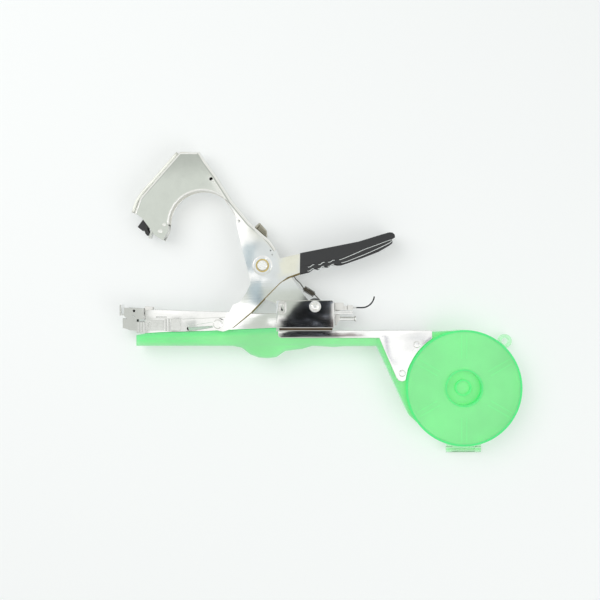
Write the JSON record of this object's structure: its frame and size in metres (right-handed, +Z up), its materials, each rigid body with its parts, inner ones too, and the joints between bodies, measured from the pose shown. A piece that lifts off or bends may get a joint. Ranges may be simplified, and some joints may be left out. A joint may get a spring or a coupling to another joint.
{
  "type": "plier stapler",
  "caption": "Plier-type tape tying stapler with a hinged jaw, black-gripped handle, staple magazine and a green tape tube and reel case.",
  "frame": {"origin": "centre of the footprint on the plane the tool lies on", "axes": "+X along the tool from the jaw tip to the reel case, +Y from the tape tube towards the jaw, +Z up from the side it lies on"},
  "size_m": [0.3014, 0.2282, 0.024],
  "materials": {
    "chrome": "bright plated",
    "steel": "satin",
    "dark_chrome": "bright plated",
    "brass": "polished",
    "black_vinyl": "satin moulded vinyl",
    "black_plastic": "satin",
    "black_steel": "black oxide",
    "green_plastic": "clear green moulded",
    "cream_plastic": "satin",
    "fibre": "pressed fibre strip"
  },
  "bodies": {
    "frame": {"lower_channel": "chrome", "rear_bracket": "dark_chrome", "reel_arm": "chrome", "tape_tube": "green_plastic", "reel_case": "green_plastic", "hinge_pin": "chrome", "reel_arm_rivets": "chrome", "spacer_strip": "fibre", "lower_tape_clamp": "chrome", "front_plate": "steel", "lid_hinge_pin": "green_plastic", "spring_post": "steel", "return_spring": "black_steel"},
    "jaw": {"jaw_shell": "chrome", "anvil_block": "steel", "cutter_blade": "steel", "tape_catch": "black_plastic", "catch_hook": "black_steel", "jaw_rivets": "steel", "web_lug": "chrome", "pivot_bolt": "chrome", "brass_ring": "brass"},
    "handle": {"handle_shell": "chrome", "handle_grip": "black_vinyl", "drive_stub_near": "chrome", "drive_stub_far": "chrome", "spring_tab": "steel"},
    "magazine": {"staple_channel": "chrome", "nose_block": "cream_plastic", "upper_tape_clamp": "chrome"},
    "pusher": {"follower": "steel", "pusher_rod": "chrome", "hook_lever": "black_steel", "rear_cap": "cream_plastic"},
    "lid": {"reel_case_lid": "green_plastic"}
  },
  "joints": [
    {"name": "jaw_hinge", "type": "hinge", "parent": "frame", "child": "jaw", "pos_m": [-0.0041, -0.0025, 0.012], "axis": [0, 0, 1], "range_deg": [0, 23], "stiffness_Nm_per_rad": 0.6, "springref_deg": -11.46, "deforming": ["return_spring"]},
    {"name": "handle_pivot", "type": "hinge", "parent": "jaw", "child": "handle", "pos_m": [-0.0434, 0.028, 0.012], "axis": [0, 0, 1], "range_deg": [-43.6, 0]},
    {"name": "magazine_press", "type": "hinge", "parent": "frame", "child": "magazine", "pos_m": [-0.0041, -0.0025, 0.012], "axis": [0, 0, 1], "range_deg": [0, 0.8], "stiffness_Nm_per_rad": 2, "springref_deg": -1.72},
    {"name": "pusher_slide", "type": "slide", "parent": "magazine", "child": "pusher", "axis": [1, 0, 0], "range_m": [0, 0.08]},
    {"name": "lid_hinge", "type": "hinge", "parent": "frame", "child": "lid", "pos_m": [0.1095, -0.1118, 0.0056], "axis": [-1, 0, 0], "range_deg": [0, 100]}
  ],
  "couplings": [
    {"joint": "handle_pivot", "follows": "jaw_hinge", "ratio": -1.887}
  ]
}
